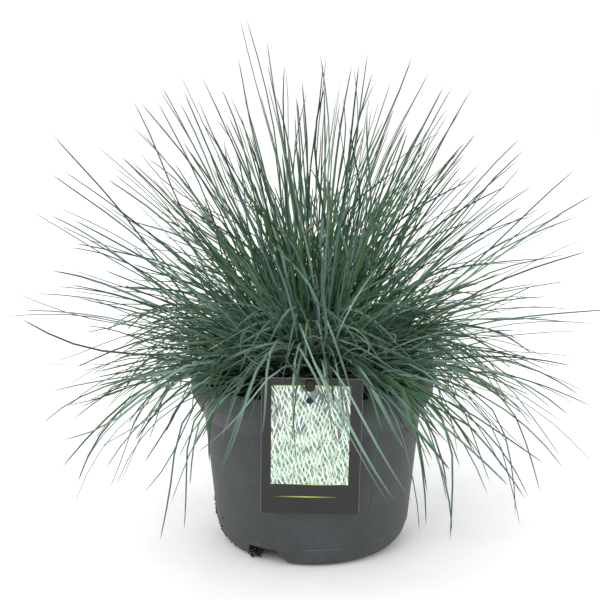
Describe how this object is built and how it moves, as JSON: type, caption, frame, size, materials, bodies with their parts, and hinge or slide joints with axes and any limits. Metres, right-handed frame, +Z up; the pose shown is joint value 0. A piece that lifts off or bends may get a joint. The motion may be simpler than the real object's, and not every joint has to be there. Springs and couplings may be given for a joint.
{
  "type": "potted blue fescue clump",
  "caption": "Clump of blue fescue, a fine blue-grey grass whose blades arch outwards, growing in soil in a round dark plastic nursery pot, with a plain picture label at its rim.",
  "frame": {"origin": "centre of the pot's foot, on the surface that the pot stands on", "axes": "+Z up along the pot's axis, -Y towards the label at the front"},
  "size_m": [0.4642, 0.4559, 0.4115],
  "materials": {
    "pot_plastic": "matte",
    "soil": "matte",
    "leaf_bases": "matte",
    "leaf": "satin",
    "label_card": "satin",
    "holder_plastic": "satin"
  },
  "bodies": {
    "root": {"pot": "pot_plastic", "potting_soil": "soil", "crown": "leaf_bases", "label": "label_card", "label_holder": "holder_plastic", "tuft_01": "leaf", "tuft_02": "leaf", "tuft_03": "leaf", "tuft_04": "leaf", "tuft_05": "leaf", "tuft_06": "leaf", "tuft_07": "leaf", "tuft_08": "leaf", "tuft_09": "leaf", "tuft_10": "leaf", "tuft_11": "leaf", "tuft_12": "leaf", "tuft_13": "leaf", "tuft_14": "leaf", "tuft_15": "leaf", "tuft_16": "leaf", "tuft_17": "leaf", "tuft_18": "leaf", "tuft_19": "leaf", "tuft_20": "leaf", "tuft_21": "leaf", "tuft_22": "leaf", "tuft_23": "leaf", "tuft_24": "leaf", "tuft_25": "leaf", "tuft_26": "leaf", "tuft_27": "leaf", "tuft_28": "leaf", "tuft_29": "leaf", "tuft_30": "leaf", "tuft_31": "leaf", "tuft_32": "leaf", "tuft_33": "leaf", "tuft_34": "leaf", "tuft_35": "leaf", "tuft_36": "leaf", "tuft_37": "leaf", "tuft_38": "leaf", "tuft_39": "leaf", "tuft_40": "leaf", "tuft_41": "leaf", "tuft_42": "leaf", "tuft_43": "leaf", "tuft_44": "leaf", "tuft_45": "leaf", "tuft_46": "leaf", "tuft_47": "leaf", "tuft_48": "leaf", "tuft_49": "leaf", "tuft_50": "leaf", "tuft_51": "leaf", "tuft_52": "leaf"}
  },
  "joints": []
}
